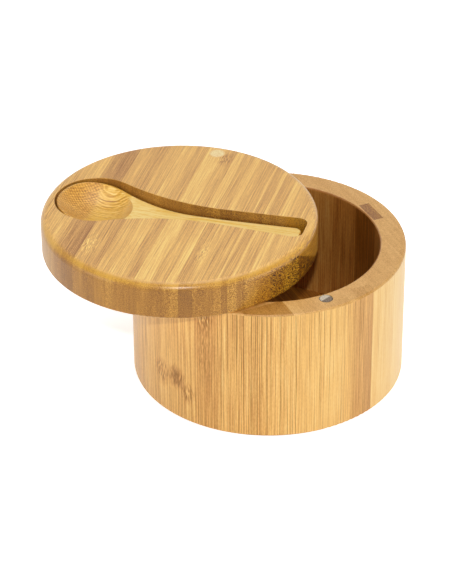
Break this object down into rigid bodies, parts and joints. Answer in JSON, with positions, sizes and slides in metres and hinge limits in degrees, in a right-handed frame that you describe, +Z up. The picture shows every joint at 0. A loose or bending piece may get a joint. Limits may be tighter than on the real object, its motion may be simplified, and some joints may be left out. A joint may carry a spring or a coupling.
{
  "type": "salt box",
  "caption": "Round thick-walled bamboo salt box with a lid that swivels sideways on a screw, a magnet catch, and a small spoon lying in a recess in the lid.",
  "frame": {"origin": "centre of the box's flat underside", "axes": "+Z up, +Y from the middle of the box towards the lid's pivot screw, +X to the right with the screw at the back"},
  "size_m": [0.165, 0.142, 0.0832],
  "materials": {
    "box_bamboo": "oiled satin bamboo, upright grain",
    "floor_bamboo": "oiled satin bamboo, flat grain",
    "lid_bamboo": "oiled satin bamboo, side-pressed strips",
    "spoon_bamboo": "oiled satin bamboo, grain along the spoon",
    "magnet_nickel": "nickel plated, polished",
    "screw_steel": "zinc-plated steel",
    "plug_bamboo": "oiled satin bamboo, end grain"
  },
  "bodies": {
    "box": {"box_wall": "box_bamboo", "floor_board": "floor_bamboo", "rim_magnet": "magnet_nickel", "pivot_screw": "screw_steel"},
    "lid": {"lid": "lid_bamboo", "lid_magnet": "magnet_nickel", "pivot_plug": "plug_bamboo"},
    "spoon": {"spoon": "spoon_bamboo"}
  },
  "joints": [
    {"name": "lid_swivel", "type": "hinge", "parent": "box", "child": "lid", "pos_m": [0, 0.0555, 0.0655], "axis": [0, 0, 1], "continuous": true},
    {"name": "spoon_lift", "type": "slide", "parent": "lid", "child": "spoon", "axis": [0, 0, 1], "range_m": [0, 0.04]}
  ]
}
